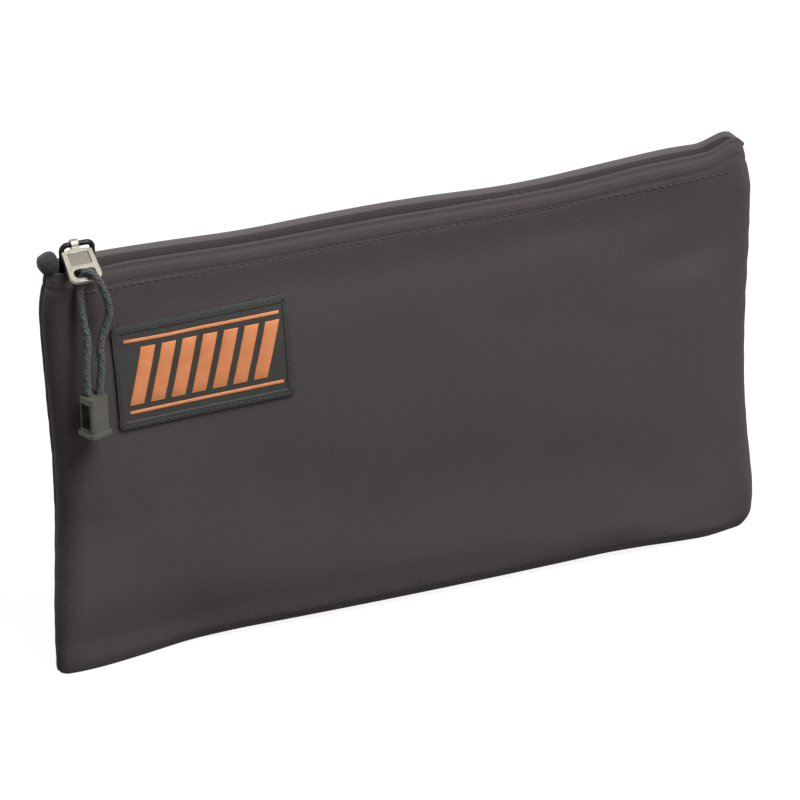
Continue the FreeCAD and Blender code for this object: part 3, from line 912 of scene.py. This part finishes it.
makeBackHalf("backClothLeft", -1.0, 0.0)
makeBackHalf("backClothRight", 0.0, 1.0)
print("back cloth made")


def surfaceAt(x, z, way):
    # the cloth's outside at x and z in millimetres: place and normal
    look = frontLook if way < 0 else backLook
    place, normal, _, _ = look.ray_cast(Vector((x * mm, way * 0.1, z * mm)), Vector((0, -way, 0)))
    if normal.y * way < 0:
        normal = -normal
    return place, normal


# Sewing thread

hemThread = {"pitch": 3.4, "length": 2.7, "thick": 0.55, "end": 147}
# proud is a share of the thickness, slant is how steeply the twist of the thread crosses it
stitch = {"segments": 8, "rings": 5, "proud": 0.18, "slant": 0.6}


def stitchRow(name, line, length, thick):
    # one stitch is modelled and copied along a line of places and normals
    deselectAll()
    bpy.ops.mesh.primitive_uv_sphere_add(segments=stitch["segments"], ring_count=stitch["rings"], radius=0.5)
    pattern = bpy.context.object
    shape = [v.co.copy() for v in pattern.data.vertices]
    sides = [tuple(p.vertices) for p in pattern.data.polygons]
    bpy.data.objects.remove(pattern)
    spots, faces = [], []
    for (place, normal), (after, _) in zip(line, line[1:]):
        ahead = (after - place).normalized()
        out = (normal - ahead * normal.dot(ahead)).normalized()
        across = ahead.cross(out)
        turned = Matrix((ahead * length * mm, across * thick * mm, out * thick * mm)).transposed()
        middle = (place + after) / 2 + out * thick * stitch["proud"] * mm
        first = len(spots)
        spots += [middle + turned @ corner for corner in shape]
        faces += [tuple(first + i for i in side) for side in sides]
    piece = newPiece(name, spots, faces, [(spot.x + spot.z * stitch["slant"], spot.z) for spot in spots])
    wear(piece, sewingThread)
    return piece


def hemLine(way, low, high):
    count = round((high - low) / hemThread["pitch"])
    return [surfaceAt(low + (high - low) * i / count, bag["stitchAt"], way) for i in range(count + 1)]


def sewHems():
    end = hemThread["end"]
    sizes = hemThread["length"], hemThread["thick"]
    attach(stitchRow("frontHemStitches", hemLine(-1, -end, end), *sizes), "bag")
    followBack(stitchRow("backHemStitchesLeft", hemLine(1, -end, 0), *sizes))
    followBack(stitchRow("backHemStitchesRight", hemLine(1, 0, end), *sizes))


sewHems()
print("hems sewn")


# Zip tapes and teeth

tape = {
    "end": 150, "step": 2.0, "thick": 0.6, "narrow": 0.35, "rise": 0.25,
    "sewnFrom": (5.4, 1.2),  # depth where the sewn margin starts, and its run
    # depth and height across a tape, from its edge between the teeth to its sewn margin
    "across": [(1.9, 173.9), (2.6, 173.9), (3.6, 173.92), (4.4, 173.9), (5.2, 173.9), (5.9, 173.85),
               (6.4, 173.6), (6.7, 173.1), (6.78, 172), (6.78, 170.5), (6.78, 169.1)],
}


def makeTape(name, way, low, high):
    count = round((high - low) / tape["step"])
    start, ease = tape["sewnFrom"]
    spots, uvs = [], []
    run = 0.0
    for i, (depth, z) in enumerate(tape["across"]):
        if i:
            before = tape["across"][i - 1]
            run += math.hypot(depth - before[0], z - before[1])
        # the part that the slider runs along stays straight, the sewn margin follows the hem a little
        sewn = smooth((depth - start) / ease)
        for j in range(count + 1):
            x = low + (high - low) * j / count
            inside = depth * (1 + (mouthShare(x) - 1) * tape["narrow"] * sewn)
            spots.append(Vector((x, way * inside, z + hemWave(x, z, way) * tape["rise"] * sewn)) * mm)
            uvs.append((x * mm, run * mm))
    piece = newGrid(name, count + 1, len(tape["across"]), spots)
    layUv(piece.data, uvs)
    if way < 0:
        piece.data.flip_normals()
    piece.data.update()
    shadeSmooth(piece)
    applyModifier(piece, "SOLIDIFY", thickness=tape["thick"] * mm, offset=-1, use_rim=True)
    wear(piece, zipTape)
    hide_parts("front_tape" if way < 0 else "back_tape")
    return piece


def copyNode(name, node, test):
    # a merged copy of a node's solids, kept where the test on a face's middle holds
    piece = addObject(name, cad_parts[node].data.copy())
    editAll(piece)
    bpy.ops.mesh.remove_doubles(threshold=0.002 * mm)
    leaveEdit()
    pickFaces(piece, lambda centre, normal: not test(centre))
    bpy.ops.mesh.delete(type="FACE")
    leaveEdit()
    smoothByAngle(piece, 35)
    return piece


# the two halves of the back row share the tooth across the middle
backCopies = [
    ("backTeethLeft", "back_teeth", lambda centre: centre.x < 0),
    ("backTeethRight", "back_teeth", lambda centre: centre.x >= 0),
    ("backTopStop", "back_top_stop", lambda centre: True),
]


def makeZip():
    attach(makeTape("frontZipTape", -1, -tape["end"], tape["end"]), "bag")
    followBack(makeTape("backZipTapeLeft", 1, -tape["end"], 0))
    followBack(makeTape("backZipTapeRight", 1, 0, tape["end"]))
    for name, node, test in backCopies:
        piece = copyNode(name, node, test)
        wear(piece, acetalTeeth)
        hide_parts(node)
        followBack(piece)


makeZip()
print("zip made")


# Folded ears over the zip's ends

# the left ear stands up, the right one lies folded in the corner
ears = [
    {"name": "zipEarLeft", "node": "end_tab_left", "side": -1, "inner": 150.6, "tip": 158.8, "half": 5.8,
     "low": 181.4, "crest": 188.0, "droop": 1.4, "stem": 6.0},
    {"name": "zipEarRight", "node": "end_tab_right", "side": 1, "inner": 149.6, "tip": 155.4, "half": 4.6,
     "low": 174.4, "crest": 179.0, "droop": 1.2, "stem": 1.0},
]


# share of a box in the pillow, arch across, ease of the stem, taper to the tip, wrinkle and its wave
earShape = {"cuts": 5, "box": 0.4, "arch": 0.9, "stemEase": 2.2, "taper": 0.16, "wrinkle": 0.3, "wave": 4}


def makeEar(ear):
    middle = Vector((ear["side"] * (ear["inner"] + ear["tip"]) / 2, 0, (ear["low"] + ear["crest"]) / 2))
    size = Vector((ear["tip"] - ear["inner"], 2 * ear["half"], ear["crest"] - ear["low"]))
    piece = newBox(ear["name"], middle, size)
    editAll(piece)
    bpy.ops.mesh.subdivide(number_cuts=earShape["cuts"])
    leaveEdit()
    centre, half = middle * mm, size * mm / 2
    box, wave = earShape["box"], earShape["wave"]
    for v in piece.data.vertices:
        spot = Vector([c / h for c, h in zip(v.co - centre, half)])
        soft = box + (1 - box) * max(abs(c) for c in spot) / spot.length
        v.co = centre + Vector([c * h for c, h in zip(spot * soft, half)])
        out = smooth((abs(v.co.x) / mm - ear["inner"]) / (ear["tip"] - ear["inner"]))
        across = abs(v.co.y) / mm / ear["half"]
        v.co.z -= (ear["droop"] * out ** 2 + earShape["arch"] * across ** 2) * mm
        if spot.z < 0:  # the fold comes up out of the zip
            v.co.z += ear["stem"] * spot.z * (1 - smooth(out * earShape["stemEase"])) * mm
        v.co.y *= 1 - earShape["taper"] * out
        v.co.z += earShape["wrinkle"] * drawn(wave, wave, v.co.x / mm, v.co.y / mm, ear["side"]) * mm
    applyModifier(piece, "SUBSURF", levels=2, render_levels=2)
    shadeSmooth(piece)
    layUv(piece.data, [(v.co.x - v.co.z, v.co.y) for v in piece.data.vertices])
    wear(piece, zipTape)
    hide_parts(ear["node"])
    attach(piece, "bag")


for ear in ears:
    makeEar(ear)
print("ears made")


# Label

label = {
    "left": -131.5, "wide": 77, "top": 154.8, "tall": 45.5, "tilt": 1.6, "corner": 2.0,
    "base": 0.8, "rim": 0.5, "rimWide": 3.0, "edge": 0.35, "grid": 3.5,
    "stitchIn": 1.5, "stitchPitch": 2.6, "stitchLength": 2.0, "stitchThick": 0.45,
}


def tilted(x, z):
    # a place on the label after it is turned about its middle, as it is sewn on
    turn = math.radians(label["tilt"])
    dx, dz = x - (label["left"] + label["wide"] / 2), z - (label["top"] - label["tall"] / 2)
    along, up = dx * math.cos(turn) - dz * math.sin(turn), dx * math.sin(turn) + dz * math.cos(turn)
    return x - dx + along, z - dz + up


def followFront(piece):
    # turns a flat piece, made against the plane y = 0, with the label and bends it onto the front cloth
    for v in piece.data.vertices:
        x, z = tilted(v.co.x / mm, v.co.z / mm)
        place, _ = surfaceAt(x, z, -1)
        v.co = (x * mm, v.co.y + place.y, z * mm)


def makeLabel():
    thick = label["base"] + label["rim"]
    middle = (label["left"] + label["wide"] / 2, -thick / 2, label["top"] - label["tall"] / 2)
    piece = newBox("labelPatchSewn", middle, (label["wide"], thick, label["tall"]))
    pickEdges(piece, lambda p, q: abs(p.y - q.y) > thick / 2 * mm)
    bpy.ops.mesh.bevel(offset=label["corner"] * mm, segments=5, affect="EDGES")
    leaveEdit()
    pickFaces(piece, lambda centre, normal: normal.y < -0.9)
    bpy.ops.mesh.bevel(offset=label["edge"] * mm, segments=2, affect="EDGES")
    leaveEdit()
    pickFaces(piece, lambda centre, normal: normal.y < -0.99)
    bpy.ops.mesh.inset(thickness=(label["rimWide"] - label["edge"]) * mm)
    bpy.ops.mesh.inset(thickness=label["edge"] * mm)
    bpy.ops.transform.translate(value=(0, label["rim"] * mm, 0))
    leaveEdit()
    sliceAcross(piece, middle[0], label["wide"], label["grid"], 0)
    sliceAcross(piece, middle[2], label["tall"], label["grid"], 2)
    followFront(piece)
    smoothByAngle(piece, 40)
    wear(piece, labelRubber)
    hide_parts("label_patch")
    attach(piece, "bag")


def labelLine():
    # a path along the label's raised border
    inset = label["stitchIn"]
    x0, x1 = label["left"] + inset, label["left"] + label["wide"] - inset
    z1, z0 = label["top"] - inset, label["top"] - label["tall"] + inset
    corners = [(x0, z0), (x1, z0), (x1, z1), (x0, z1), (x0, z0)]
    line = []
    for (ax, az), (bx, bz) in zip(corners, corners[1:]):
        count = round(math.hypot(bx - ax, bz - az) / label["stitchPitch"])
        for i in range(count):
            x, z = tilted(ax + (bx - ax) * i / count, az + (bz - az) * i / count)
            place, _ = surfaceAt(x, z, -1)
            line.append((place + Vector((0, -(label["base"] + label["rim"]) * mm, 0)), Vector((0, -1, 0))))
    return line + [line[0]]


motif = {
    "bars": 7, "wide": 6.2, "tall": 25, "lean": 7, "gap": 2.8, "rule": 1.4, "ruleAway": 3.2,
    "high": 0.3, "deep": 0.6, "edge": 0.2, "grid": 4,
}


def makeBar(name, middleX, middleZ, wide, tall, lean):
    top = label["base"] + motif["high"]
    piece = newBox(name, (middleX, motif["deep"] / 2 - top, middleZ), (wide, motif["deep"], tall))
    front = (motif["edge"] / 2 - top) * mm
    pickEdges(piece, lambda p, q: p.y < front and q.y < front)
    bpy.ops.mesh.bevel(offset=motif["edge"] * mm, segments=2, affect="EDGES")
    leaveEdit()
    sliceAcross(piece, middleX, wide, motif["grid"], 0)
    sliceAcross(piece, middleZ, tall, motif["grid"], 2)
    for v in piece.data.vertices:
        v.co.x += lean * mm * (v.co.z / mm - middleZ) / tall
    followFront(piece)
    return piece


def makeMotif():
    # plain slanted bars between two thin rules, a common workshop marking
    middleX = label["left"] + label["wide"] / 2
    middleZ = label["top"] - label["tall"] / 2
    pitch = motif["wide"] + motif["gap"]
    pieces = []
    for i in range(motif["bars"]):
        x = middleX + (i - (motif["bars"] - 1) / 2) * pitch
        pieces.append(makeBar("motifBar", x, middleZ, motif["wide"], motif["tall"], motif["lean"]))
    long = motif["bars"] * pitch - motif["gap"] + motif["lean"]
    for side in (-1, 1):
        z = middleZ + side * (motif["tall"] / 2 + motif["ruleAway"])
        pieces.append(makeBar("motifRule", middleX, z, long, motif["rule"], 0))
    deselectAll()
    for piece in pieces:
        piece.select_set(True)
    bpy.context.view_layer.objects.active = pieces[0]
    bpy.ops.object.join()
    whole = nameNew("labelMotif")
    smoothByAngle(whole, 40)
    wear(whole, printedOrange)
    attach(whole, "bag")


makeLabel()
makeMotif()
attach(stitchRow("labelStitches", labelLine(), label["stitchLength"], label["stitchThick"]), "bag")
print("label made")


# Bound seams inside

binding = {
    "wide": 8, "thick": 2, "step": 4, "around": 12, "round": (0.5, 0.7),
    "ripple": (0.12, 1.9, 0.4),  # amount, wave, and the share of the width beyond which an edge ripples
    "inset": 3.2, "sideY": -1.3,  # of the side tapes, from the cloth's edge and from the middle
    "above": 0.5, "ends": (104, 40, 0.6),  # the bottom tape lies above the foot and narrows at its ends
}


def ribbonAlong(name, line, node):
    # a soft folded tape along a line of (place, across, out), in millimetres
    wide, around = binding["wide"], binding["around"]
    outline = []
    for i in range(around):
        turn = math.tau * i / around
        outline.append([math.copysign(abs(c) ** power, c) * size / 2 for c, power, size in zip(
            (math.cos(turn), math.sin(turn)), binding["round"], (wide, binding["thick"]))])
    amount, wave, plain = binding["ripple"]
    spots, uvs = [], []
    for k, (place, across, out) in enumerate(line):
        ripple = amount * math.sin(k * wave)
        for i, (w, t) in enumerate(outline):
            spots.append((place + across * w + out * (t + ripple * (abs(w) > wide * plain))) * mm)
            uvs.append((k * binding["step"] * mm, 2 * i * wide / around * mm))
    piece = newPiece(name, spots, tubeFaces(len(line), around), uvs)
    editAll(piece)
    bpy.ops.mesh.normals_make_consistent(inside=False)
    leaveEdit()
    smoothByAngle(piece, 50)
    wear(piece, bindingTape)
    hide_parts(node)
    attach(piece, "bag")


def makeBindings():
    low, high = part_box("seam_binding_left")
    count = round((high.z - low.z) / mm / binding["step"])
    sides = ("bindingLeft", -1, "seam_binding_left"), ("bindingRight", 1, "seam_binding_right")
    for name, side, node in sides:
        line = []
        for i in range(count + 1):
            z = low.z / mm + (high.z - low.z) / mm * i / count
            x = side * (halfWidth(z, side) - binding["inset"] - binding["wide"] / 2)
            place = Vector((x, binding["sideY"], z)) + leftTwist(x, z)
            line.append((place, Vector((1, 0, 0)), Vector((0, 1, 0))))
        ribbonAlong(name, line, node)
    low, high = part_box("seam_binding_bottom")
    count = round((high.x - low.x) / mm / binding["step"])
    middle = (low + high) / 2 / mm
    start, run, share = binding["ends"]
    line = []
    for i in range(count + 1):
        x = low.x / mm + (high.x - low.x) / mm * i / count
        z = middle.z + footLift(x, middle.z) + binding["above"]
        across = Vector((0, 1 - share * smooth((abs(x) - start) / run), 0))
        line.append((Vector((x, middle.y, z)) + leftTwist(x, middle.z), across, Vector((0, 0, 1))))
    ribbonAlong("bindingBottom", line, "seam_binding_bottom")


makeBindings()
print("bindings made")


# The hard pieces keep their solids

for nodeName, finish in (
    ("front_teeth", acetalTeeth), ("front_top_stop", acetalTeeth), ("bottom_stop", acetalTeeth),
    ("slider_body", darkPlate), ("slider_crown", darkPlate), ("pull_tab", nickelPlate),
    ("cord_end", cordPlastic),
):
    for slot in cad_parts[nodeName].material_slots:
        slot.material = finish
print("hard pieces finished")
